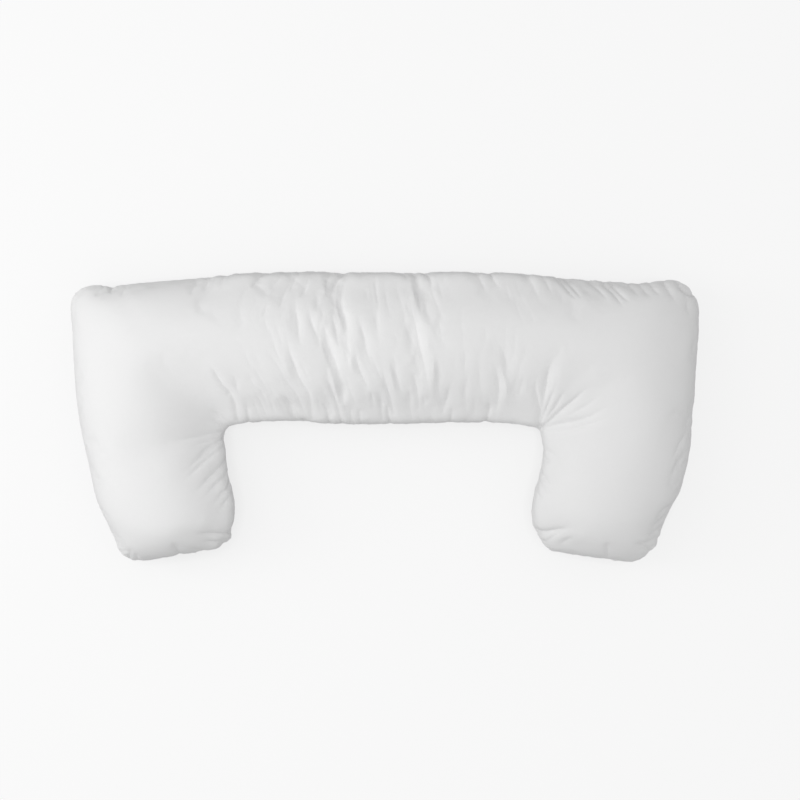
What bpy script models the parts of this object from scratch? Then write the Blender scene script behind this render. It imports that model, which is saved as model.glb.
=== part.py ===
"""A U-shaped pillow: two panels of plain white cotton, sewn together round one edge and stuffed.

It lies flat on its bottom panel. The straight bar is towards +Y and the two arms point towards -Y.
"""
import math
from collections import namedtuple

import bmesh
import bpy

MM = 0.001

# Heights of the lying pillow, in millimetres above the surface.
SEAM_HEIGHT = 66
END_SEAM_HEIGHT = 40

# The filling is full up to this far from an arm's end, and then rounds down to the seam there.
LEFT_END_ROUND = 60
RIGHT_END_ROUND = 84
END_LIP = 0.04

# The part of a section's width that lies flat on the surface, and how slowly the top leaves each seam.
FLAT_SHARE = 0.50
INNER_ROUNDNESS = 0.56
OUTER_ROUNDNESS = 0.47
CORNER_ROUNDNESS = 0.80
CORNER_REACH = 75

# Mesh sizes: the step along the pillow, and the columns over the top and up each lower side.
STEP = 8.5
TOP_COLUMNS = 24
SIDE_COLUMNS = 3

# How close to the seam a crease in the top fades out, as a share of the section's width.
CREASE_FADE = 0.05

COTTON_WHITE = (0.86, 0.87, 0.88, 1.0)
COTTON_ROUGHNESS = 0.85

# A section crosses the pillow from its inner edge, beside the opening, to its outer edge. Crown is the
# height of the top above the seam there.
Section = namedtuple("Section", "inner_x inner_y outer_x outer_y crown")
SECTIONS = (
    Section(-253, -201, -387, -224, 62),
    Section(-238, -191, -400, -214, 64),
    Section(-232, -181, -410, -201, 66),
    Section(-234, -170, -414, -184, 68),
    Section(-229, -145, -425, -159, 71),
    Section(-232, -115, -440, -126, 74),
    Section(-240, -80, -452, -73, 77),
    Section(-243, -47, -463, -24, 80),
    Section(-245, -28, -471, 28, 83),
    Section(-243, -20, -476, 96, 86),
    Section(-240, -15, -478, 142, 88),
    Section(-237, -13, -482, 176, 89),
    Section(-234, -11, -474, 194, 90),
    Section(-230, -10, -454, 204, 90),
    Section(-226, -9, -429, 205, 90),
    Section(-221, -8, -416, 202, 90),
    Section(-215, -7, -399, 205, 90),
    Section(-201, -6, -344, 210, 89),
    Section(-178, -4, -275, 216, 87),
    Section(-142, -4, -198, 223, 85),
    Section(-91, -8, -122, 225, 83),
    Section(-38, -9, -45, 224, 82),
    Section(39, -8, 51, 224, 82),
    Section(108, -6, 143, 224, 84),
    Section(165, -6, 223, 220, 86),
    Section(200, -8, 292, 214, 88),
    Section(218, -11, 361, 209, 90),
    Section(227, -14, 399, 208, 91),
    Section(233, -18, 437, 214, 91),
    Section(237, -23, 465, 205, 91),
    Section(239, -28, 480, 184, 90),
    Section(241, -34, 482, 147, 88),
    Section(243, -46, 478, 89, 85),
    Section(242, -64, 474, 23, 82),
    Section(237, -87, 468, -49, 79),
    Section(230, -112, 452, -112, 76),
    Section(226, -136, 431, -162, 72),
    Section(226, -158, 424, -182, 69),
    Section(230, -175, 417, -198, 67),
    Section(237, -181, 407, -208, 65),
    Section(241, -191, 396, -217, 63),
    Section(255, -206, 382, -224, 62),
)

# Where the seam turns a corner, so that the filling thins out and the edge is a flatter point.
CORNERS = ((-476, 196), (474, 202), (-395, -218), (-238, -190), (392, -219), (240, -190))

# Creases in the top panel, from one end to the other, all in millimetres. A positive height is a ridge and a
# negative one a valley; bend pushes the middle of the crease sideways, to the left of its direction.
Crease = namedtuple("Crease", "from_x from_y to_x to_y bend width height")
CREASES = (
    # broad hollows towards the inner corners, where the U turns, and across the left arm from there
    Crease(-250, -6, -262, 4, 0, 72, -11.0),
    Crease(250, -14, 262, -6, 0, 66, -8.0),
    Crease(-262, -30, -350, -44, 0, 24, -5.0),
    # across the bar, leaning to the right as they go down
    Crease(-148, 132, -105, 22, -3, 9, 4.0),
    Crease(-95, 136, -62, 32, -3, 9, -4.0),
    Crease(-83, 66, -64, 2, 0, 8, 4.0),
    Crease(-71, 186, -57, 117, -2, 7, -5.0),
    Crease(-42, 165, -19, 89, -3, 8, 4.0),
    Crease(-42, 104, -19, 43, -4, 7, 4.0),
    Crease(41, 191, 71, 44, 5, 11, 7.0),
    Crease(0, 61, 16, 9, 0, 7, 4.0),
    Crease(-194, 46, -172, 21, 0, 8, 3.5),
    Crease(-157, 44, -120, 0, 0, 7, 3.5),
    Crease(165, 105, 185, 58, 4, 8, -4.0),
    Crease(169, 84, 172, 11, 9, 9, 4.5),
    # fanning out from the inner corner on the right
    Crease(241, 14, 261, 75, -2, 9, 5.0),
    Crease(236, 28, 250, 81, -2, 7, -4.0),
    Crease(241, -11, 313, 61, -5, 9, 4.5),
    Crease(237, -14, 305, 43, -3, 7, -4.0),
    Crease(257, -18, 315, -3, -4, 8, 4.0),
    Crease(252, -17, 325, 9, -3, 7, -4.0),
    # fanning out from the inner corner on the left
    Crease(-250, 70, -223, 0, 3, 9, 4.5),
    Crease(-220, 32, -207, 6, 0, 7, 3.5),
    Crease(-292, 11, -247, -8, 0, 8, -4.5),
    Crease(-319, -35, -244, -21, 3, 9, -4.5),
    Crease(-299, -78, -249, -32, 3, 9, -4.5),
    Crease(-279, -107, -249, -74, 3, 8, -4.0),
    # short tucks that the seam draws in along the top edge, the inner edges and the arm ends
    Crease(-30, 220, -85, 190, -4, 7, -4.0),
    Crease(41, 219, 60, 164, 3, 7, -4.5),
    Crease(270, 210, 301, 179, 0, 8, 3.5),
    Crease(321, 207, 347, 179, 0, 8, 3.5),
    Crease(348, 202, 371, 178, 0, 8, 3.5),
    Crease(-243, 214, -275, 180, 0, 8, -3.0),
    Crease(434, 211, 448, 193, 0, 8, 5.0),
    Crease(-430, 203, -422, 186, 0, 9, -5.0),
    Crease(-382, -196, -377, -216, 0, 8, 3.5),
    Crease(-307, -196, -316, -212, 0, 8, -3.5),
    Crease(-238, -164, -268, -156, 3, 9, 4.0),
    Crease(-240, -182, -300, -176, 3, 8, -4.0),
    Crease(240, -171, 288, -169, 3, 8, -5.0),
    Crease(246, -184, 297, -178, 4, 9, 4.0),
    Crease(262, -200, 310, -186, 4, 9, -3.0),
    Crease(350, -216, 345, -196, 0, 9, -3.0),
    Crease(436, -166, 404, -138, -3, 9, -4.0),
    Crease(426, -185, 396, -166, -3, 9, -4.0),
    Crease(404, -210, 384, -186, -3, 9, 3.5),
    Crease(462, 112, 451, 28, -4, 9, 3.0),
    Crease(451, -34, 441, -84, -3, 9, 3.0),
    Crease(226, -58, 262, -40, 3, 8, 3.0),
    Crease(229, -104, 258, -76, 3, 8, -3.0),
)


def lerp(low, high, share):
    return low + (high - low) * share


def smooth_through(before, start, end, after, share):
    """Return the value a share of the way from start to end, on a smooth curve through all four."""
    square = share * share
    cube = square * share
    return 0.5 * (
        2 * start
        + (end - before) * share
        + (2 * before - 5 * start + 4 * end - after) * square
        + (after - before + 3 * (start - end)) * cube
    )


def fine_sections():
    """Return the sections with smooth in-between ones, about one STEP apart along the pillow."""
    fine = []
    last = len(SECTIONS) - 1
    for index in range(last):
        four = [SECTIONS[min(max(index + shift, 0), last)] for shift in (-1, 0, 1, 2)]
        inner_gap = math.dist(four[1][0:2], four[2][0:2])
        outer_gap = math.dist(four[1][2:4], four[2][2:4])
        parts = max(1, round((inner_gap + outer_gap) / 2 / STEP))
        for part in range(parts):
            values = [smooth_through(*column, part / parts) for column in zip(*four)]
            fine.append(Section(*values))
    fine.append(SECTIONS[last])
    return fine


def end_fullness(from_left, from_right):
    """Return how full the pillow is between the arm ends: a quarter ellipse from lip to full at each."""
    share = min(1.0, from_left / LEFT_END_ROUND, from_right / RIGHT_END_ROUND)
    return lerp(END_LIP, 1.0, math.sqrt(1.0 - (1.0 - share) ** 2))


def corner_pull(x, y):
    """Return 1 at a corner of the seam, falling to 0 at CORNER_REACH from it."""
    nearest = min(math.dist((x, y), corner) for corner in CORNERS)
    return max(0.0, 1.0 - nearest / CORNER_REACH)


def crease_lift(x, y):
    """Return how far the creases raise or lower the top panel at a point, in millimetres."""
    lift = 0.0
    for crease in CREASES:
        run_x = crease.to_x - crease.from_x
        run_y = crease.to_y - crease.from_y
        length = math.hypot(run_x, run_y)
        ahead = ((x - crease.from_x) * run_x + (y - crease.from_y) * run_y) / length
        aside = ((y - crease.from_y) * run_x - (x - crease.from_x) * run_y) / length
        share = min(max(ahead / length, 0.0), 1.0)
        aside -= crease.bend * 4.0 * share * (1.0 - share)
        beyond = ahead - share * length
        spread = (aside * aside + beyond * beyond) / (crease.width * crease.width)
        lift += crease.height * math.exp(-spread)
    return lift


def section_ring(section, fullness):
    """Return the corners of one section: over the top from inner to outer seam, then back underneath."""
    seam = lerp(END_SEAM_HEIGHT, SEAM_HEIGHT, fullness)
    run_x = section.outer_x - section.inner_x
    run_y = section.outer_y - section.inner_y
    ring = []

    def place(share, height):
        ring.append((section.inner_x + run_x * share, section.inner_y + run_y * share, height))

    inner_pull = corner_pull(section.inner_x, section.inner_y)
    outer_pull = corner_pull(section.outer_x, section.outer_y)
    for column in range(TOP_COLUMNS + 1):
        share = 0.5 - 0.5 * math.cos(math.pi * column / TOP_COLUMNS)
        pull, roundness = (inner_pull, INNER_ROUNDNESS) if share < 0.5 else (outer_pull, OUTER_ROUNDNESS)
        roundness = lerp(roundness, CORNER_ROUNDNESS, pull)
        dome = (1.0 - (2.0 * share - 1.0) ** 2) ** roundness
        x = section.inner_x + run_x * share
        y = section.inner_y + run_y * share
        fade = min(1.0, share / CREASE_FADE, (1.0 - share) / CREASE_FADE)
        place(share, seam + fullness * (section.crown * dome + fade * crease_lift(x, y)))

    edge = (1.0 - FLAT_SHARE) / 2.0
    lower_half = []
    for column in range(1, SIDE_COLUMNS + 1):
        angle = math.pi / 2.0 * column / SIDE_COLUMNS
        lower_half.append((edge * (1.0 - math.cos(angle)), math.sin(angle)))
    for share, depth in lower_half:
        place(1.0 - share, seam * (1.0 - fullness * depth))
    for share, depth in reversed(lower_half):
        place(share, seam * (1.0 - fullness * depth))
    return ring


def pillow_mesh():
    """Skin the rings of all sections, close both arm ends and centre the pillow on the origin."""
    sections = fine_sections()
    middles = [((s.inner_x + s.outer_x) / 2, (s.inner_y + s.outer_y) / 2) for s in sections]
    from_left = [0.0]
    for here, there in zip(middles, middles[1:]):
        from_left.append(from_left[-1] + math.dist(here, there))
    rings = []
    for section, distance in zip(sections, from_left):
        rings.append(section_ring(section, end_fullness(distance, from_left[-1] - distance)))

    corners = [point for ring in rings for point in ring]
    middle_x = (min(p[0] for p in corners) + max(p[0] for p in corners)) / 2
    middle_y = (min(p[1] for p in corners) + max(p[1] for p in corners)) / 2

    shape = bmesh.new()
    loops = []
    for ring in rings:
        loops.append([
            shape.verts.new(((x - middle_x) * MM, (y - middle_y) * MM, max(z, 0.0) * MM)) for x, y, z in ring
        ])
    for left, right in zip(loops, loops[1:]):
        for index in range(len(left)):
            following = (index + 1) % len(left)
            shape.faces.new((left[index], left[following], right[following], right[index]))
    shape.faces.new(reversed(loops[0]))
    shape.faces.new(loops[-1])
    bmesh.ops.recalc_face_normals(shape, faces=shape.faces)
    mesh = bpy.data.meshes.new("pillow")
    shape.to_mesh(mesh)
    shape.free()
    mesh.shade_smooth()
    return mesh


def white_cotton():
    material = bpy.data.materials.new("white cotton")
    material.use_nodes = True
    shader = material.node_tree.nodes["Principled BSDF"]
    shader.inputs["Base Color"].default_value = COTTON_WHITE
    shader.inputs["Roughness"].default_value = COTTON_ROUGHNESS
    shader.inputs["Metallic"].default_value = 0.0
    return material


for leftover in list(bpy.data.objects):
    bpy.data.objects.remove(leftover)

pillow = bpy.data.objects.new("pillow", pillow_mesh())
pillow.data.materials.append(white_cotton())
bpy.context.scene.collection.objects.link(pillow)
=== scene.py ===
import math
import random
from collections import namedtuple

import bmesh
import bpy
import numpy as np
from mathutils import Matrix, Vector
from mathutils.kdtree import KDTree


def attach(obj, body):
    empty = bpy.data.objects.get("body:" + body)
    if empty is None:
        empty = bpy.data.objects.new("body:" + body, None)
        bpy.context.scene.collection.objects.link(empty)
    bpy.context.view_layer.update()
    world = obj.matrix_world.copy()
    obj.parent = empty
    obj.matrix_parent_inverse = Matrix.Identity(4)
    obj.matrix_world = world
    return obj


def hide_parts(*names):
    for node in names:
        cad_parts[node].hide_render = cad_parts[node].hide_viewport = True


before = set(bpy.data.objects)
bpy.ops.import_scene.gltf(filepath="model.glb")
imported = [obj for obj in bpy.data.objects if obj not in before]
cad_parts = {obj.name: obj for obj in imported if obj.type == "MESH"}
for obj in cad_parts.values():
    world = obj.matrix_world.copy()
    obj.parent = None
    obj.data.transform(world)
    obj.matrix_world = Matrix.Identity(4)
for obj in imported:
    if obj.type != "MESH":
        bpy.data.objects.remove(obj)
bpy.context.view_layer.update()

SCENE = bpy.context.scene
MM = 0.001


# The studio: a plain pale floor that is brighter than the pillow, with a painted shade that dims its glow
# where the two meet; even light from above, two soft lamps on the left, and the camera straight above, as
# in the photo.
PIXEL = 1.531 * MM
PHOTO_PIXELS = 800
PILLOW_MIDDLE_PX = (384.5, 418.0)
CAMERA_DISTANCE = 3.0
SENSOR_MM = 36.0
AIM_HEIGHT = 66 * MM

photo_middle = PHOTO_PIXELS / 2
camera_data = bpy.data.cameras.new("camera")
camera_data.sensor_width = SENSOR_MM
camera_data.lens = SENSOR_MM * CAMERA_DISTANCE / (PHOTO_PIXELS * PIXEL)
camera_data.clip_end = 50.0
camera = bpy.data.objects.new("camera", camera_data)
camera.location = (
    (photo_middle - PILLOW_MIDDLE_PX[0]) * PIXEL,
    (PILLOW_MIDDLE_PX[1] - photo_middle) * PIXEL,
    AIM_HEIGHT + CAMERA_DISTANCE,
)
SCENE.collection.objects.link(camera)
SCENE.camera = camera
SCENE.view_settings.view_transform = "Standard"

FLOOR_SIZE = 12.0
FLOOR_GLOW = 0.772
FLOOR_WHITE = 0.19
PAINTED_CONTACT_SHADE = 0.17
CONTACT_REACH = 34 * MM
floor_shape = bmesh.new()
bmesh.ops.create_grid(floor_shape, x_segments=1, y_segments=1, size=FLOOR_SIZE)
floor_mesh = bpy.data.meshes.new("floor")
floor_shape.to_mesh(floor_mesh)
floor_shape.free()
floor = bpy.data.objects.new("floor", floor_mesh)
SCENE.collection.objects.link(floor)
floor.visible_diffuse = False
floor_paint = bpy.data.materials.new("pale floor")
floor_paint.use_nodes = True
floor_shader = floor_paint.node_tree.nodes["Principled BSDF"]
floor_shader.inputs["Base Color"].default_value = (FLOOR_WHITE, FLOOR_WHITE, FLOOR_WHITE, 1.0)
floor_shader.inputs["Roughness"].default_value = 1.0
floor_shader.inputs["Specular IOR Level"].default_value = 0.0
floor_shader.inputs["Emission Color"].default_value = (1.0, 1.0, 1.0, 1.0)
# An ambient-occlusion node dims the floor's glow near the pillow: a painted contact shadow.
painted_shade_node = floor_paint.node_tree.nodes.new("ShaderNodeAmbientOcclusion")
painted_shade_node.samples = 16
painted_shade_node.inputs["Distance"].default_value = CONTACT_REACH
glow = floor_paint.node_tree.nodes.new("ShaderNodeMapRange")
glow.inputs["To Min"].default_value = FLOOR_GLOW * (1 - PAINTED_CONTACT_SHADE)
glow.inputs["To Max"].default_value = FLOOR_GLOW
floor_paint.node_tree.links.new(painted_shade_node.outputs["AO"], glow.inputs["Value"])
floor_paint.node_tree.links.new(glow.outputs["Result"], floor_shader.inputs["Emission Strength"])
floor_mesh.materials.append(floor_paint)

SKY_LIGHT = 0.73
LOW_LIGHT = 0.27
SKY_START = -0.10
SKY_FULL = 0.10
room = bpy.data.worlds.new("room")
room.use_nodes = True
room_tree = room.node_tree
direction = room_tree.nodes.new("ShaderNodeTexCoord")
height_of = room_tree.nodes.new("ShaderNodeSeparateXYZ")
brighter = room_tree.nodes.new("ShaderNodeMapRange")
brighter.interpolation_type = "SMOOTHSTEP"
brighter.inputs["From Min"].default_value = SKY_START
brighter.inputs["From Max"].default_value = SKY_FULL
brighter.inputs["To Min"].default_value = LOW_LIGHT
brighter.inputs["To Max"].default_value = SKY_LIGHT
room_tree.links.new(direction.outputs["Generated"], height_of.inputs["Vector"])
room_tree.links.new(height_of.outputs["Z"], brighter.inputs["Value"])
room_tree.links.new(brighter.outputs["Result"], room_tree.nodes["Background"].inputs["Strength"])
room_tree.nodes["Background"].inputs["Color"].default_value = (1.0, 1.0, 1.0, 1.0)
SCENE.world = room

Lamp = namedtuple("Lamp", "name place aim size watts")
LAMPS = (
    Lamp("left light", (-2.25, 0.20, 1.30), (0.0, 0.05, 0.10), 1.0, 13.2),
    Lamp("high light", (-0.80, 0.15, 1.50), (-0.1, 0.05, 0.10), 0.8, 3.0),
)
for lamp in LAMPS:
    light_data = bpy.data.lights.new(lamp.name, "AREA")
    light_data.size = lamp.size
    light_data.energy = lamp.watts
    light = bpy.data.objects.new(lamp.name, light_data)
    light.location = lamp.place
    light.rotation_euler = (Vector(lamp.aim) - Vector(lamp.place)).to_track_quat("-Z", "Y").to_euler()
    light.visible_camera = False
    SCENE.collection.objects.link(light)


# The stuffed cover: two U-shaped panels of white cotton percale, sewn round one edge, turned and filled
# with loose fibre. It starts from the frame's own solid, and a short cloth simulation swells it between its
# seam and the floor, so that the cloth lies in the way that filled cloth does.
VOXEL = 5.5 * MM
SOFTEN_PASSES = 4
SOFTEN_SHARE = 0.5
TOP_PASSES = 16
SOFTEN_FADE = 30 * MM
SEAM_SAMPLE = 1 * MM
SEAM_BAND = 6 * MM
FLOOR_CONTACT = 1.5 * MM
SWELL_FRAMES = 20
SWELL_CAP = 9 * MM
SPARE_CLOTH = 0.006
LEAST_RISE = 0.02
FINE_LEVELS = 2


def seam_of(node):
    """Return points SEAM_SAMPLE apart along the seam, where the node's top faces meet its lower ones."""
    shape = bmesh.new()
    shape.from_mesh(node.data)
    bmesh.ops.remove_doubles(shape, verts=shape.verts, dist=0.01 * MM)
    shape.normal_update()
    neighbours = {}
    for edge in shape.edges:
        upward = [face.normal.z > LEAST_RISE for face in edge.link_faces]
        if upward[0] != upward[1]:
            neighbours.setdefault(edge.verts[0], []).append(edge.verts[1])
            neighbours.setdefault(edge.verts[1], []).append(edge.verts[0])
    loop = [max(neighbours, key=lambda vert: vert.co.y)]
    loop.append(neighbours[loop[0]][0])
    while len(loop) < len(neighbours):
        ahead = [vert for vert in neighbours[loop[-1]] if vert is not loop[-2]]
        loop.append(ahead[0])
    corners = [vert.co.copy() for vert in loop]
    shape.free()
    points = []
    for here, there in zip(corners, corners[1:] + corners[:1]):
        steps = max(1, round((there - here).length / SEAM_SAMPLE))
        points.extend(here.lerp(there, step / steps) for step in range(steps))
    return points


def read_points(mesh, what="co"):
    """Return one row of x, y, z for each of the mesh's points: its place, or its normal."""
    values = np.empty(len(mesh.vertices) * 3)
    mesh.vertices.foreach_get(what, values)
    return values.reshape(-1, 3)


def write_points(mesh, points):
    """Put the mesh's points at these places."""
    mesh.vertices.foreach_set("co", points.reshape(-1))
    mesh.update()


seam_points = seam_of(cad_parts["pillow"])
seam_tree = KDTree(len(seam_points))
for index, point in enumerate(seam_points):
    seam_tree.insert(point, index)
seam_tree.balance()
seam_places = np.array([point[:] for point in seam_points])

cover_shape = bmesh.new()
cover_shape.from_mesh(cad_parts["pillow"].data)
bmesh.ops.remove_doubles(cover_shape, verts=cover_shape.verts, dist=0.01 * MM)
cover_mesh = bpy.data.meshes.new("pillow_cover")
cover_shape.to_mesh(cover_mesh)
cover_shape.free()
cover = bpy.data.objects.new("pillow_cover", cover_mesh)
SCENE.collection.objects.link(cover)
bpy.context.view_layer.objects.active = cover


def keep_modifier(piece, modifier):
    """Apply a modifier, so that the piece's mesh holds what it made."""
    bpy.context.view_layer.objects.active = piece
    bpy.ops.object.modifier_apply(modifier=modifier.name)


remesh = cover.modifiers.new("even mesh", "REMESH")
remesh.mode = "VOXEL"
remesh.voxel_size = VOXEL
keep_modifier(cover, remesh)
above_seam_group = cover.vertex_groups.new(name="top")
seam_heights = np.array([point.z for point in seam_points])
for index, place in enumerate(read_points(cover.data)):
    nearest = seam_tree.find(Vector(place))
    share = min(1.0, nearest[2] / SOFTEN_FADE) if place[2] > seam_heights[nearest[1]] else 0.0
    above_seam_group.add([index], share, "REPLACE")
soften = cover.modifiers.new("soften", "SMOOTH")
soften.iterations = SOFTEN_PASSES
soften.factor = SOFTEN_SHARE
keep_modifier(cover, soften)
smooth_top = cover.modifiers.new("smooth top", "SMOOTH")
smooth_top.iterations = TOP_PASSES
smooth_top.factor = SOFTEN_SHARE
smooth_top.vertex_group = above_seam_group.name
keep_modifier(cover, smooth_top)

before_swelling = read_points(cover.data)
held = cover.vertex_groups.new(name="held")
for index, place in enumerate(before_swelling):
    distance = seam_tree.find(Vector(place))[2]
    if distance < SEAM_BAND or place[2] < FLOOR_CONTACT:
        held.add([index], 1.0, "REPLACE")

cloth = cover.modifiers.new("cloth", "CLOTH")
cloth.settings.quality = 5
cloth.settings.mass = 0.3
cloth.settings.tension_stiffness = 25
cloth.settings.compression_stiffness = 15
cloth.settings.shear_stiffness = 5
cloth.settings.bending_stiffness = 0.5
cloth.settings.bending_damping = 0.5
cloth.settings.air_damping = 2
cloth.settings.use_pressure = True
cloth.settings.uniform_pressure_force = 4
cloth.settings.effector_weights.gravity = 0
cloth.settings.shrink_min = -SPARE_CLOTH
cloth.settings.vertex_group_mass = held.name
cloth.collision_settings.use_collision = False
cloth.point_cache.frame_end = SWELL_FRAMES
for number in range(1, SWELL_FRAMES + 1):
    SCENE.frame_set(number)
keep_modifier(cover, cloth)
SCENE.frame_set(1)
swollen = read_points(cover.data)
move = swollen - before_swelling
reach = np.linalg.norm(move, axis=1, keepdims=True)
move *= np.minimum(1.0, SWELL_CAP / np.maximum(reach, MM * 0.001))
swollen = before_swelling + move
swollen[:, 2] = np.maximum(swollen[:, 2], 0.0)
write_points(cover.data, swollen)

finer = cover.modifiers.new("finer", "SUBSURF")
finer.levels = FINE_LEVELS
finer.render_levels = FINE_LEVELS
keep_modifier(cover, finer)
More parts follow.
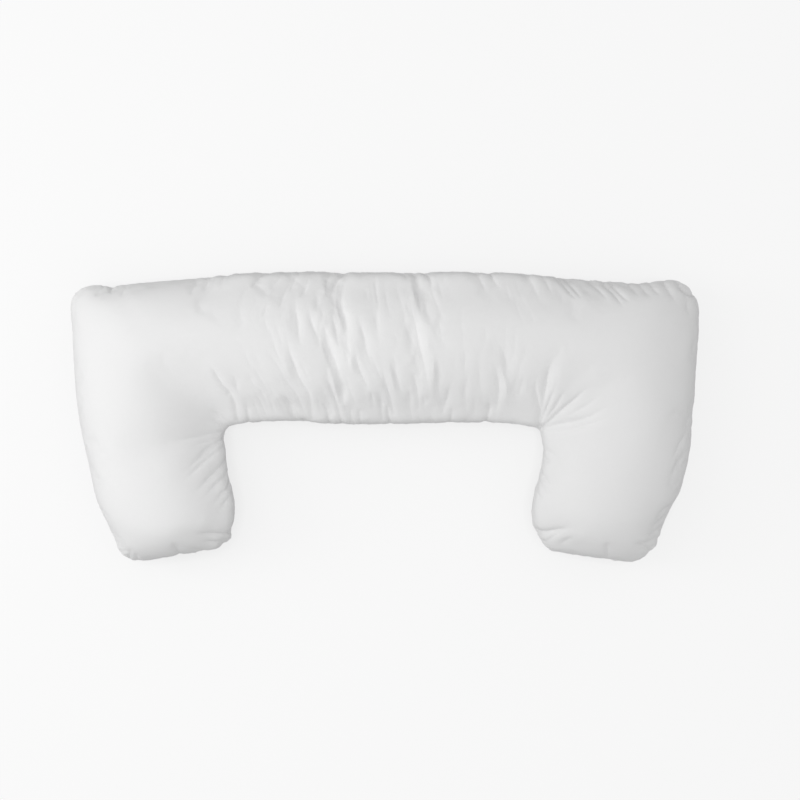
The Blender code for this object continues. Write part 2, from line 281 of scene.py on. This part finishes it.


# The creases that the photo shows, each placed one by one: grooves with full sides, where the cloth is
# drawn in at the bar's middle and at the two inner corners, and short ones along the sewn edge. Places are
# in millimetres, as seen from straight above. Left and right say how far the sides of a groove reach, and
# start and end how much of its depth is left there.
Fold = namedtuple("Fold", "depth start end left right route")
FOLDS = (
    # Left part of the bar
    Fold(3.6, 0.2, 0.9, 5, 6, ((-248, 56), (-238, 40), (-230, 22), (-225, 2))),
    Fold(2.4, 0.2, 0.9, 3, 3, ((-213, 22), (-210, 12), (-208, -4))),
    Fold(1.9, 0.1, 0.3, 5, 5, ((-198, 54), (-186, 34), (-178, 16))),
    Fold(1.4, 0.1, 0.2, 6, 5, ((-212, 74), (-202, 54), (-192, 36))),
    Fold(3.8, 0.1, 0.9, 6, 4, ((-160, 38), (-147, 24), (-135, 11), (-122, -2))),
    Fold(2.2, 0.1, 0.2, 5, 5, ((-162, 70), (-150, 54), (-140, 42), (-132, 30))),
    Fold(6.2, 0.1, 0.5, 9, 8,
         ((-151, 128), (-146, 105), (-140, 84), (-133, 64), (-124, 48), (-117, 37), (-113, 22), (-111, 4))),
    Fold(4.1, 0.2, 0.1, 7, 6, ((-136, 188), (-136, 168), (-133, 150), (-131, 125), (-127, 106))),
    Fold(2.6, 0.6, 0.1, 7, 5, ((-144, 208), (-153, 192), (-158, 178), (-161, 162))),
    Fold(2.4, 0.8, 0.1, 5, 4, ((-130, 218), (-139, 206), (-148, 190))),
    Fold(2.6, 0.5, 0.1, 5, 4, ((-118, 208), (-123, 195), (-131, 184))),
    Fold(3.6, 0.1, 0.3, 5, 4, ((-116, 170), (-113, 152), (-108, 137), (-101, 121))),
    Fold(2.6, 0.2, 0.1, 5, 7, ((-105, 194), (-103, 176), (-108, 160))),
    Fold(6, 0.2, 0.1, 6, 9,
         ((-86, 148), (-91, 132), (-88, 115), (-83, 99), (-77, 84), (-71, 68), (-65, 50), (-60, 30))),
    Fold(4.3, 0.1, 0.8, 6, 5, ((-92, 80), (-86, 58), (-79, 38), (-72, 18), (-66, -2))),
    Fold(2.6, 0.1, 0.3, 4, 6, ((-72, 60), (-66, 38), (-60, 16))),
    Fold(2.4, 0.1, 0.9, 4, 3, ((-94, 26), (-87, 9), (-83, -4))),
    Fold(5.3, 0.9, 0.1, 7, 4, ((-62, 220), (-71, 210), (-78, 200), (-82, 189))),
    Fold(3.1, 0.8, 0.1, 4, 4, ((-82, 218), (-89, 206), (-91, 192))),
    Fold(5, 0.3, 0.2, 5, 7, ((-62, 202), (-66, 186), (-67, 168), (-62, 152), (-58, 136), (-56, 118))),
    Fold(3.1, 0.1, 0.2, 4, 4, ((-81, 164), (-76, 142), (-73, 126), (-67, 104))),
    # Middle of the bar
    Fold(5.5, 0.1, 0.2, 8, 10, ((-43, 166), (-37, 144), (-31, 124), (-28, 106), (-23, 90), (-14, 74))),
    Fold(4.8, 0.1, 0.1, 8, 5, ((-46, 110), (-43, 90), (-39, 74), (-31, 58), (-27, 44), (-26, 32))),
    Fold(4.8, 0.1, 0.6, 6, 5, ((-3, 80), (1, 54), (8, 32), (14, 8))),
    Fold(2.2, 0.1, 0.1, 6, 6, ((13, 96), (17, 66), (20, 40))),
    Fold(3.1, 0.1, 0.5, 5, 3, ((-7, 38), (-5, 20), (-4, 4))),
    Fold(2.6, 0.1, 0.9, 3, 3, ((2, 22), (6, 8), (9, -6))),
    Fold(1.9, 0.1, 0.9, 3, 3, ((-38, 18), (-37, -4))),
    Fold(1.9, 0.1, 0.3, 3, 3, ((-21, 42), (-18, 16))),
    Fold(1.6, 0.1, 0.9, 3, 3, ((-52, 18), (-52, -3))),
    Fold(7.9, 0.2, 0.2, 13, 12,
         ((34, 198), (40, 176), (45, 152), (48, 132), (52, 112), (57, 92), (62, 70), (66, 50), (68, 30))),
    Fold(4.6, 0.8, 0.1, 4, 6, ((45, 219), (49, 204), (52, 190), (55, 174), (57, 158))),
    Fold(3.8, 0.9, 0.1, 5, 4, ((63, 219), (71, 208), (74, 192))),
    Fold(2.6, 0.9, 0.1, 4, 4, ((26, 220), (36, 209))),
    Fold(4.1, 0.1, 0.2, 6, 7, ((81, 98), (83, 68), (83, 45), (86, 26))),
    Fold(2.6, 0.1, 0.4, 4, 4, ((101, 56), (97, 32), (90, 12))),
    Fold(2.2, 0.2, 0.9, 3, 3, ((105, 18), (100, -2))),
    Fold(2.6, 0.1, 0.2, 5, 4, ((40, 80), (46, 58), (50, 40), (53, 16))),
    Fold(1.9, 0.1, 0.2, 4, 4, ((36, 44), (42, 16))),
    Fold(1.7, 0.1, 0.3, 4, 4, ((59, 36), (63, 10))),
    Fold(1.6, 0.1, 0.2, 5, 5, ((124, 60), (122, 20))),
    # Right part of the bar
    Fold(5.5, 0.1, 0.4, 9, 7, ((166, 90), (172, 68), (175, 48), (174, 28), (169, 6))),
    Fold(3.8, 0.1, 0.1, 11, 14, ((168, 126), (181, 104), (187, 84), (189, 62), (195, 42))),
    Fold(3.6, 0.1, 0.9, 4, 3, ((160, 26), (160, 10), (154, -4))),
    Fold(1.7, 0.1, 0.1, 5, 4, ((204, 66), (198, 46), (193, 30))),
    Fold(2.2, 0.1, 0.1, 5, 5, ((214, 68), (208, 44), (205, 26))),
    Fold(1.7, 0.1, 0.1, 6, 6, ((142, 96), (146, 60), (146, 28))),
    # Right inner corner
    Fold(4.6, 0.1, 0.8, 6, 3, ((235, 68), (231, 44), (234, 26), (237, 8), (235, -10))),
    Fold(6.6, 0.1, 0.5, 5.2, 5.2, ((258, 92), (250, 66), (246, 46), (243, 26), (239, 2))),
    Fold(3.7, 0.1, 0.8, 3, 3, ((264, 54), (254, 28), (245, 6), (237, -12))),
    Fold(3.7, 0.1, 0.4, 3, 3, ((276, 44), (262, 17), (246, -4))),
    Fold(6, 0.1, 0.8, 3.8, 4.5, ((312, 48), (294, 31), (268, 8), (252, -6), (238, -16))),
    Fold(2.3, 0.1, 0.3, 3.8, 3.8, ((330, 34), (304, 16), (272, 0))),
    Fold(6.6, 0.1, 0.9, 4.5, 4.5, ((340, 16), (308, 0), (275, -8), (252, -14), (238, -19))),
    Fold(3.7, 0.1, 0.6, 3, 4.5, ((346, 2), (312, -9), (282, -16), (252, -22))),
    # Ridges where the cloth turns over into the deeper grooves; their depth is below zero
    Fold(-2.6, 0.1, 0.1, 4, 4, ((-95, 142), (-99, 128), (-96, 112), (-91, 95), (-86, 80), (-80, 62))),
    Fold(-2.6, 0.3, 0.1, 4, 3, ((-73, 198), (-75, 182), (-72, 164), (-67, 148), (-63, 132), (-60, 118))),
    Fold(-2.2, 0.3, 0.1, 4, 4, ((39, 210), (44, 192), (50, 170))),
    Fold(-2.4, 0.3, 0.1, 4, 4, ((-88, 210), (-92, 196), (-89, 184))),
    Fold(-2.6, 0.1, 0.1, 4, 4, ((177, 84), (184, 58), (187, 40), (184, 18))),
    Fold(-2.2, 0.1, 0.1, 4, 4, ((75, 98), (76, 66), (77, 34))),
    Fold(-1.1, 0.1, 0.2, 4, 4, ((-156, 100), (-152, 84), (-145, 66), (-136, 50))),
    Fold(-2.0, 0.1, 0.2, 4, 4, ((-83, 70), (-76, 48), (-70, 26))),
    Fold(-2.0, 0.1, 0.2, 4, 4, ((-52, 104), (-51, 84), (-46, 66))),
    Fold(-2.2, 0.1, 0.2, 4, 4, ((7, 80), (13, 56), (19, 32))),
    # Top edge of the right arm
    Fold(2.6, 0.9, 0.1, 6, 4, ((139, 219), (147, 204), (156, 192))),
    Fold(4.1, 0.9, 0.1, 7, 4, ((158, 220), (168, 206), (177, 194))),
    Fold(2.4, 0.8, 0.1, 6, 4, ((218, 214), (229, 196), (237, 180))),
    Fold(2.2, 0.8, 0.1, 5, 4, ((238, 213), (250, 199), (259, 186))),
    Fold(3.4, 0.9, 0.1, 4, 3, ((264, 213), (280, 198), (298, 178))),
    Fold(3.8, 0.9, 0.1, 4, 3, ((277, 212), (292, 198), (303, 182))),
    Fold(3.1, 0.9, 0.1, 5, 3, ((313, 209), (330, 196), (343, 178))),
    Fold(3.6, 0.9, 0.1, 4, 3, ((335, 206), (351, 192), (368, 168))),
    Fold(3.4, 0.9, 0.1, 4, 3, ((349, 204), (363, 190), (377, 176))),
    Fold(2.2, 0.9, 0.1, 4, 3, ((373, 206), (391, 186))),
    Fold(2.2, 0.9, 0.1, 4, 3, ((389, 206), (408, 185))),
    Fold(2.2, 0.9, 0.1, 4, 3, ((406, 206), (424, 186))),
    Fold(4.3, 0.9, 0.1, 5, 4, ((427, 209), (436, 196), (446, 178))),
    Fold(7.2, 0.7, 0.6, 3, 3, ((454, 202), (464, 194), (484, 186))),
    Fold(2.9, 0.4, 0.1, 4, 4, ((463, 184), (467, 156))),
    Fold(1.9, 0.3, 0.1, 4, 4, ((477, 126), (470, 92))),
    # Outer side of the right arm
    Fold(3.8, 0.5, 0.2, 4, 4, ((468, -14), (455, -38), (441, -64))),
    Fold(2.9, 0.5, 0.2, 4, 4, ((476, 20), (466, -4), (455, -22))),
    Fold(3.6, 0.6, 0.1, 4, 4, ((460, -54), (447, -76), (436, -98))),
    Fold(5, 1, 0.1, 5, 4, ((446, -132), (430, -144), (414, -160))),
    Fold(5, 1, 0.1, 5, 4, ((440, -148), (422, -162), (404, -174))),
    Fold(4.8, 1, 0.1, 5, 4, ((430, -166), (414, -178), (398, -182))),
    Fold(4.1, 1, 0.1, 4, 4, ((420, -184), (404, -192), (392, -190))),
    Fold(3.6, 1, 0.1, 4, 4, ((404, -202), (392, -196), (380, -192))),
    # Left inner corner
    Fold(3.8, 0.1, 0.7, 5, 5, ((-268, 84), (-253, 57), (-239, 37))),
    Fold(1.6, 0.1, 0.2, 3.2, 3.2, ((-231, 68), (-223, 35))),
    Fold(2.4, 0.1, 0.4, 3.2, 3.2, ((-272, 15), (-250, 2), (-234, -6))),
    Fold(2.2, 0.1, 0.3, 2.4, 2.4, ((-276, 2), (-252, -9), (-238, -14))),
    Fold(3.8, 0.1, 0.8, 4, 3.2, ((-326, -36), (-278, -27), (-238, -19))),
    Fold(2.4, 0.1, 0.7, 3.2, 2.4, ((-300, -44), (-270, -36), (-240, -25))),
    Fold(3.8, 0.1, 0.7, 3.2, 3.2, ((-306, -82), (-278, -57), (-243, -28))),
    Fold(2.4, 0.1, 0.7, 2.4, 2.4, ((-290, -64), (-268, -44), (-243, -30))),
    Fold(3.6, 0.1, 0.5, 3.2, 3.2, ((-306, -96), (-280, -71), (-247, -43))),
    Fold(3.6, 0.1, 0.6, 3.2, 3.2, ((-290, -114), (-268, -92), (-244, -64))),
    Fold(3, 0.1, 0.5, 2.4, 3.2, ((-276, -122), (-260, -104), (-241, -82))),
    Fold(2.6, 0.1, 0.5, 2.4, 2.4, ((-262, -132), (-250, -116), (-237, -98))),
    Fold(2.4, 0.1, 0.4, 2.4, 2.4, ((-254, -142), (-237, -114))),
    # Top edge and end of the left arm
    Fold(3.8, 1, 0.1, 4, 4, ((-419, 208), (-418, 190))),
    Fold(1.9, 0.8, 0.1, 4, 3, ((-431, 202), (-444, 184))),
    Fold(1.9, 0.8, 0.1, 4, 3, ((-396, 201), (-406, 184))),
    Fold(1.7, 0.8, 0.1, 4, 3, ((-288, 206), (-300, 186))),
    Fold(1.9, 0.8, 0.1, 4, 3, ((-266, 212), (-280, 192))),
    Fold(2.2, 0.8, 0.1, 4, 3, ((-240, 217), (-256, 198))),
    Fold(3.6, 0.9, 0.1, 5, 3, ((-176, 221), (-192, 210), (-208, 198))),
    Fold(1.9, 0.8, 0.1, 5, 4, ((-152, 219), (-166, 206), (-176, 194))),
    Fold(2.2, 0.1, 0.9, 4, 4, ((-388, -196), (-392, -224))),
    Fold(2.2, 0.1, 0.9, 4, 4, ((-384, -204), (-374, -226))),
    Fold(3.4, 0.1, 0.9, 4, 4, ((-326, -190), (-312, -212))),
    Fold(4.6, 0.1, 1, 4, 4, ((-292, -178), (-262, -178), (-228, -174))),
    Fold(3.6, 0.1, 1, 3, 3, ((-284, -190), (-258, -190), (-234, -186))),
    Fold(6.0, 0.1, 1, 7, 7, ((-262, -190), (-240, -194), (-222, -200))),
    Fold(1.9, 0.1, 0.7, 3, 3, ((-302, -200), (-276, -204))),
    # Inner side and end of the right arm
    Fold(1.9, 0.3, 0.1, 4, 3, ((244, -44), (268, -62))),
    Fold(1.9, 0.3, 0.1, 3, 3, ((243, -58), (258, -70))),
    Fold(2.2, 0.6, 0.1, 3, 3, ((242, -82), (256, -106))),
    Fold(2.2, 0.6, 0.1, 3, 3, ((238, -95), (253, -120))),
    Fold(2.2, 0.6, 0.1, 3, 3, ((235, -109), (244, -130))),
    Fold(7.2, 1, 0.1, 4, 5, ((222, -171), (252, -174), (284, -168))),
    Fold(2.4, 0.2, 0.1, 4, 4, ((240, -189), (258, -182), (276, -171))),
    Fold(2.4, 0.2, 0.1, 4, 4, ((264, -195), (278, -188), (294, -182))),
    Fold(2.6, 0.2, 1, 4, 4, ((341, -188), (341, -210))),
)
FOLD_STEP = 2 * MM
FOLD_REACH = 3.5
GROOVE_ROUND = 0.9 * MM
FOLD_BELOW_SEAM = 14 * MM
FOLD_ABOVE_SEAM = 4 * MM


def smooth_route(corners, step):
    """Return points about step apart on a smooth curve through the corners."""
    ends = [2 * corners[0] - corners[1]] + list(corners) + [2 * corners[-1] - corners[-2]]
    points = []
    for before, here, there, after in zip(ends, ends[1:], ends[2:], ends[3:]):
        count = max(2, round(float(np.linalg.norm(there - here)) / step))
        for share in np.arange(count) / count:
            points.append(
                here
                + 0.5 * (there - before) * share
                + 0.5 * (2 * before - 5 * here + 4 * there - after) * share ** 2
                + 0.5 * (3 * (here - there) + after - before) * share ** 3
            )
    points.append(corners[-1])
    return np.array(points)


def soft_step(values, low, high):
    """Return 0 below low, 1 above high, and a smooth way between them."""
    share = np.clip((values - low) / (high - low), 0.0, 1.0)
    return share * share * (3 - 2 * share)


def fold_depth(seen, fold):
    """Return how deep a fold's groove is at each of these points, in metres."""
    route = smooth_route([np.array(corner, float) * MM for corner in fold.route], FOLD_STEP)
    widest = FOLD_REACH * max(fold.left, fold.right) * MM
    low = route.min(axis=0) - widest
    high = route.max(axis=0) + widest
    near = np.nonzero(np.all((seen > low) & (seen < high), axis=1))[0]
    offsets = seen[near][:, None, :] - route[None, :, :]
    gaps = np.linalg.norm(offsets, axis=2)
    nearest = gaps.argmin(axis=1)
    rows = np.arange(len(near))
    gap = gaps[rows, nearest]
    offset = offsets[rows, nearest]
    ahead = np.gradient(route, axis=0)[nearest]
    turn = ahead[:, 0] * offset[:, 1] - ahead[:, 1] * offset[:, 0]
    on_left = turn < 0 if route[-1, 1] < route[0, 1] else turn > 0
    side = np.where(on_left, fold.left, fold.right) * MM
    profile = np.exp(-(np.sqrt(gap ** 2 + GROOVE_ROUND ** 2) - GROOVE_ROUND) / side)
    share = nearest / (len(route) - 1)
    rise = fold.start + (1 - fold.start) * soft_step(share, 0.0, 0.5)
    fall = fold.end + (1 - fold.end) * soft_step(1 - share, 0.0, 0.5)
    depth = np.zeros(len(seen))
    depth[near] = fold.depth * MM * profile * rise * fall
    return depth


places = read_points(cover.data)
normals = read_points(cover.data, "normal")
camera_place = np.array(camera.location)
closer = CAMERA_DISTANCE / (camera_place[2] - places[:, 2:3])
seen = camera_place[:2] + (places[:, :2] - camera_place[:2]) * closer
nearest_seam = np.array([seam_tree.find(Vector(place))[1:] for place in places])
seam_index = nearest_seam[:, 0].astype(int)
above_seam = places[:, 2] - seam_places[seam_index, 2]
upper = soft_step(above_seam, -FOLD_BELOW_SEAM, FOLD_ABOVE_SEAM)
lift = -sum(fold_depth(seen, fold) for fold in FOLDS)

# Finer drag lines between the main folds of the bar, where the cloth is slack: more of them in its middle.
Drag = namedtuple("Drag", "x lean_top lean_bottom share")
DRAGS = (
    Drag(-230, -0.5, 0.5, 0.5),
    Drag(-160, -0.6, 0.5, 0.9),
    Drag(-100, -0.3, 0.45, 1.3),
    Drag(-40, 0.1, 0.35, 1.3),
    Drag(20, 0.25, 0.3, 1.0),
    Drag(80, 0.25, 0.05, 0.8),
    Drag(160, 0.4, 0.0, 0.6),
    Drag(225, 0.6, -0.2, 0.6),
)
DRAG_SEED = 5
DRAG_COUNT = 130
DRAG_HIGH = 200
DRAG_LOW = 8
DRAG_TURN = (110, 190)
DRAG_LEAN_SPREAD = 0.12
DRAG_BEND = 2.0
DRAG_LENGTH = (26, 78)
DRAG_DEPTH = (0.4, 1.4)
DRAG_WIDTH = (2.0, 4.5)
dice = random.Random(DRAG_SEED)
for number in range(DRAG_COUNT):
    x = dice.uniform(DRAGS[0].x, DRAGS[-1].x)
    y = dice.uniform(DRAG_LOW, DRAG_HIGH)
    near_drag = min(DRAGS, key=lambda drag: abs(drag.x - x))
    lean_change = near_drag.lean_top - near_drag.lean_bottom
    lean = near_drag.lean_bottom + lean_change * soft_step(y, *DRAG_TURN)
    lean += dice.uniform(-DRAG_LEAN_SPREAD, DRAG_LEAN_SPREAD)
    half = dice.uniform(*DRAG_LENGTH) / 2
    depth = dice.uniform(*DRAG_DEPTH) * near_drag.share
    width = dice.uniform(*DRAG_WIDTH)
    bend = dice.uniform(-DRAG_BEND, DRAG_BEND)
    route = ((x - lean * half, y + half), (x + bend, y), (x + lean * half, y - half))
    lift -= fold_depth(seen, Fold(depth, 0.0, 0.0, width, width, route))
lift *= upper

# The filling is pushed out to the bar's two edges, so that its top is flatter than that of the arms.
EdgeFill = namedtuple("EdgeFill", "height place width")
INNER_FILL = EdgeFill(6.0 * MM, 26 * MM, 19 * MM)
OUTER_FILL = EdgeFill(6.0 * MM, 33 * MM, 20 * MM)
RIGHT_FILL = EdgeFill(4.5 * MM, 45 * MM, 27 * MM)
BAR_HALF = (225 * MM, 290 * MM)
BAR_MIDDLE = (90 * MM, 130 * MM)
RIGHT_PART = (50 * MM, 120 * MM)
gap = np.linalg.norm(places - seam_places[seam_index], axis=1)
bar_share = 1 - soft_step(np.abs(places[:, 0]), *BAR_HALF)
outer_share = soft_step(places[:, 1], *BAR_MIDDLE)
right_share = outer_share * soft_step(places[:, 0], *RIGHT_PART)
for fill, share in ((INNER_FILL, 1 - outer_share), (OUTER_FILL, outer_share), (RIGHT_FILL, right_share)):
    lift += fill.height * np.exp(-((gap - fill.place) / fill.width) ** 2) * share * bar_share * upper


# Gathers: where the two panels are sewn together the cloth is drawn up a little, so short, shallow puckers
# run from the seam over both sides, leaning the way that the cloth is pulled there.
GATHER_SEED = 11
GATHER_SPACING = (5 * MM, 16 * MM)
GATHER_LENGTH = (10 * MM, 48 * MM)
GATHER_LIFT = (0.3 * MM, 1.5 * MM)
GATHER_WIDTH = (1.6 * MM, 3.6 * MM)
GATHER_REACH = 50 * MM
GATHER_SEAM_SHARE = 0.3
GATHER_FULL = 9 * MM
GATHER_FADE = 1.5
LEAN_SPREAD = 0.25
SEAM_DEPTH = 1.3 * MM
SEAM_WIDTH = 2.4 * MM
Pull = namedtuple("Pull", "x y lean_x lean_y strength")
PULLS = (
    Pull(-440, 195, 0.0, 0.0, 0.8),
    Pull(-330, 208, -0.5, 0.0, 0.7),
    Pull(-200, 218, -0.9, 0.0, 1.0),
    Pull(-110, 222, -0.6, 0.0, 1.2),
    Pull(-40, 223, 0.0, 0.0, 1.0),
    Pull(60, 222, 0.3, 0.0, 1.0),
    Pull(200, 218, 0.8, 0.0, 1.1),
    Pull(330, 208, 0.9, 0.0, 1.3),
    Pull(430, 206, 0.9, 0.0, 1.2),
    Pull(475, 180, 0.0, -0.5, 1.0),
    Pull(478, 90, 0.0, -1.2, 0.6),
    Pull(468, -30, 0.0, -1.6, 0.9),
    Pull(430, -150, 0.0, -0.8, 1.3),
    Pull(340, -200, 0.3, 0.0, 1.2),
    Pull(240, -180, 0.3, 0.0, 1.2),
    Pull(228, -120, 0.0, -1.2, 1.0),
    Pull(243, -60, 0.0, -1.0, 0.9),
    Pull(225, -10, 0.6, 0.0, 0.9),
    Pull(120, -5, 0.2, 0.0, 1.1),
    Pull(0, -6, -0.3, 0.0, 1.2),
    Pull(-120, -5, -0.6, 0.0, 1.1),
    Pull(-215, -5, -0.4, 0.0, 0.9),
    Pull(-245, -50, 0.0, -0.8, 0.9),
    Pull(-232, -150, 0.0, -0.5, 0.9),
    Pull(-320, -210, 0.0, 0.0, 1.2),
    Pull(-400, -215, 0.3, 0.0, 0.9),
    Pull(-445, -100, 0.0, -0.4, 0.3),
    Pull(-478, 60, 0.0, 0.0, 0.3),
)
seam_step = np.roll(seam_places, -1, axis=0) - seam_places
seam_run = np.concatenate([[0.0], np.cumsum(np.linalg.norm(seam_step, axis=1))])
seam_length = seam_run[-1]
seam_heading = seam_step / np.linalg.norm(seam_step, axis=1, keepdims=True)
run = seam_run[seam_index]
close = np.nonzero(gap < GATHER_REACH)[0]
close_gap = gap[close]
close_run = run[close]
close_above = above_seam[close] > 0
from_seam = GATHER_SEAM_SHARE + (1 - GATHER_SEAM_SHARE) * soft_step(close_gap, 0, GATHER_FULL)
gather = np.zeros(len(close))
dice = random.Random(GATHER_SEED)
at = 0.0
while at < seam_length:
    index = int(np.searchsorted(seam_run, at, side="right")) - 1
    here = seam_places[index] / MM
    pull = min(PULLS, key=lambda pull: (pull.x - here[0]) ** 2 + (pull.y - here[1]) ** 2)
    lift_here = pull.strength * dice.uniform(*GATHER_LIFT) * dice.choice((-1, 1))
    width = dice.uniform(*GATHER_WIDTH)
    for above in (True, False):
        length = dice.uniform(*GATHER_LENGTH)
        lean = (pull.lean_x + dice.uniform(-LEAN_SPREAD, LEAN_SPREAD)) * seam_heading[index, 0]
        lean += (pull.lean_y + dice.uniform(-LEAN_SPREAD, LEAN_SPREAD)) * seam_heading[index, 1]
        aside = close_run - at - lean * close_gap
        aside -= seam_length * np.round(aside / seam_length)
        across = np.exp(-(aside / width) ** 2)
        along = np.clip(1 - close_gap / length, 0, 1) ** GATHER_FADE
        gather += np.where(close_above == above, lift_here * across * along * from_seam, 0.0)
    at += dice.uniform(*GATHER_SPACING)
lift[close] += gather
lift -= SEAM_DEPTH * np.exp(-(gap / SEAM_WIDTH) ** 2)
places += normals * lift[:, None]
places[:, 2] = np.maximum(places[:, 2], 0.0)
write_points(cover.data, places)

# The mesh is thinned where it is smooth, and the slivers that this leaves are dissolved.
MOST_TRIANGLES = 194000
SLIVER = 0.15 * MM
fewer = cover.modifiers.new("fewer faces where it is smooth", "DECIMATE")
fewer.ratio = MOST_TRIANGLES / (2 * len(cover.data.polygons))
keep_modifier(cover, fewer)
tidied = bmesh.new()
tidied.from_mesh(cover.data)
bmesh.ops.dissolve_degenerate(tidied, edges=tidied.edges, dist=SLIVER)
bmesh.ops.triangulate(tidied, faces=tidied.faces)
tidied.to_mesh(cover.data)
tidied.free()
cover.data.shade_smooth()


# The cotton: a fine plain weave, bleached white and matt, a little uneven in tone at random. The seam shows
# as a fine sunk line with the small pulls of its stitches, and its colour is darkened there as painted
# shade.
COTTON_GREY = 0.86
COTTON_ROUGHNESS = 0.88
COTTON_GLOSS = 0.12
COTTON_SHEEN = 0.06
COTTON_SHEEN_ROUGHNESS = 0.6
TONE_SPREAD = 0.012
THREAD_MM = 0.5
THREAD_RELIEF_MM = 0.03
RUMPLE_MM = 9.0
RUMPLE_RELIEF_MM = 0.16
SLUB_MM = 2.2
SLUB_RELIEF_MM = 0.05
SEAM_LINE_MM = 0.9
SEAM_LINE_RELIEF_MM = 0.7
SEAM_LINE_PAINTED_SHADE = 0.16
STITCH_MM = 2.8
STITCH_PULL = 0.25
BROAD_TONE_MM = 110.0
FINE_TONE_MM = 6.0
ROUGH_PATCH_MM = 14.0
ROUGH_SPREAD = 0.1

cover.data.materials.clear()
places = read_points(cover.data)
nearest_seam = np.array([seam_tree.find(Vector(place))[1:] for place in places])
seam_index = nearest_seam[:, 0].astype(int)
side = np.where(places[:, 2] > seam_places[seam_index, 2], 1.0, -1.0)
for name, values in (("seam_gap", nearest_seam[:, 1] * side / MM), ("seam_run", seam_run[seam_index] / MM)):
    layer = cover.data.attributes.new(name, "FLOAT", "POINT")
    layer.data.foreach_set("value", values)

cotton = bpy.data.materials.new("white cotton")
cotton.use_nodes = True
tree = cotton.node_tree
shader = tree.nodes["Principled BSDF"]
shader.inputs["Specular IOR Level"].default_value = COTTON_GLOSS
shader.inputs["Sheen Weight"].default_value = COTTON_SHEEN
shader.inputs["Sheen Roughness"].default_value = COTTON_SHEEN_ROUGHNESS


def join(value, socket):
    """Set a socket to a number, or link it to another socket."""
    if isinstance(value, (int, float)):
        socket.default_value = value
    else:
        tree.links.new(value, socket)


def count(operation, first, second=0.0):
    """Return the result of one sum of numbers."""
    node = tree.nodes.new("ShaderNodeMath")
    node.operation = operation
    join(first, node.inputs[0])
    join(second, node.inputs[1])
    return node.outputs[0]


def ramp(value, low, high, start, end):
    """Return start below low, end above high, and a smooth way between them."""
    node = tree.nodes.new("ShaderNodeMapRange")
    node.interpolation_type = "SMOOTHSTEP"
    join(value, node.inputs["Value"])
    for socket, number in (("From Min", low), ("From Max", high), ("To Min", start), ("To Max", end)):
        node.inputs[socket].default_value = number
    return node.outputs["Result"]


def mottle(size_mm, detail):
    """Return a noise from -0.5 to 0.5 whose patches are about this large."""
    node = tree.nodes.new("ShaderNodeTexNoise")
    node.inputs["Scale"].default_value = 1.0 / (size_mm * MM)
    node.inputs["Detail"].default_value = detail
    tree.links.new(coordinates.outputs["Object"], node.inputs["Vector"])
    return count("SUBTRACT", node.outputs["Fac"], 0.5)


coordinates = tree.nodes.new("ShaderNodeTexCoord")
place = tree.nodes.new("ShaderNodeSeparateXYZ")
tree.links.new(coordinates.outputs["Object"], place.inputs["Vector"])
facing = tree.nodes.new("ShaderNodeSeparateXYZ")
tree.links.new(coordinates.outputs["Normal"], facing.inputs["Vector"])
threads = {}
for axis in "XYZ":
    turns = count("MULTIPLY", place.outputs[axis], 2 * math.pi / (THREAD_MM * MM))
    threads[axis] = count("SINE", turns)
weave = 0.0
for across, along, facing_axis in (("X", "Y", "Z"), ("Y", "Z", "X"), ("X", "Z", "Y")):
    crossing = count("MULTIPLY", threads[across], threads[along])
    share = count("POWER", count("ABSOLUTE", facing.outputs[facing_axis]), 2.0)
    weave = count("ADD", count("MULTIPLY", crossing, share), weave)

gap_read = tree.nodes.new("ShaderNodeAttribute")
gap_read.attribute_name = "seam_gap"
run_read = tree.nodes.new("ShaderNodeAttribute")
run_read.attribute_name = "seam_run"
stitch = count("SINE", count("MULTIPLY", run_read.outputs["Fac"], 2 * math.pi / STITCH_MM))
line_width = count("MULTIPLY_ADD", stitch, STITCH_PULL)
line_width.node.inputs[2].default_value = 1.0
from_line = count("DIVIDE", count("ABSOLUTE", gap_read.outputs["Fac"]), line_width)
seam_line = ramp(from_line, 0.0, SEAM_LINE_MM, 1.0, 0.0)

relief = count("MULTIPLY", weave, THREAD_RELIEF_MM)
relief = count("ADD", relief, count("MULTIPLY", mottle(RUMPLE_MM, 2.0), RUMPLE_RELIEF_MM))
relief = count("ADD", relief, count("MULTIPLY", mottle(SLUB_MM, 1.0), SLUB_RELIEF_MM))
relief = count("SUBTRACT", relief, count("MULTIPLY", seam_line, SEAM_LINE_RELIEF_MM))
bump = tree.nodes.new("ShaderNodeBump")
bump.inputs["Distance"].default_value = MM
tree.links.new(relief, bump.inputs["Height"])
tree.links.new(bump.outputs["Normal"], shader.inputs["Normal"])

tone = count("ADD", mottle(BROAD_TONE_MM, 2.0), count("MULTIPLY", mottle(FINE_TONE_MM, 3.0), 0.5))
tone = count("MULTIPLY_ADD", tone, 2 * TONE_SPREAD)
tone.node.inputs[2].default_value = COTTON_GREY
# The base colour is darkened along the sunk seam line: painted shade in its groove.
tone = count("MULTIPLY", tone, ramp(from_line, 0.0, SEAM_LINE_MM, 1.0 - SEAM_LINE_PAINTED_SHADE, 1.0))
colour = tree.nodes.new("ShaderNodeCombineColor")
for channel in ("Red", "Green", "Blue"):
    tree.links.new(tone, colour.inputs[channel])
tree.links.new(colour.outputs["Color"], shader.inputs["Base Color"])
rough = count("MULTIPLY_ADD", mottle(ROUGH_PATCH_MM, 2.0), ROUGH_SPREAD)
rough.node.inputs[2].default_value = COTTON_ROUGHNESS
tree.links.new(rough, shader.inputs["Roughness"])
cover.data.materials.append(cotton)
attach(cover, "root")
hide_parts("pillow")
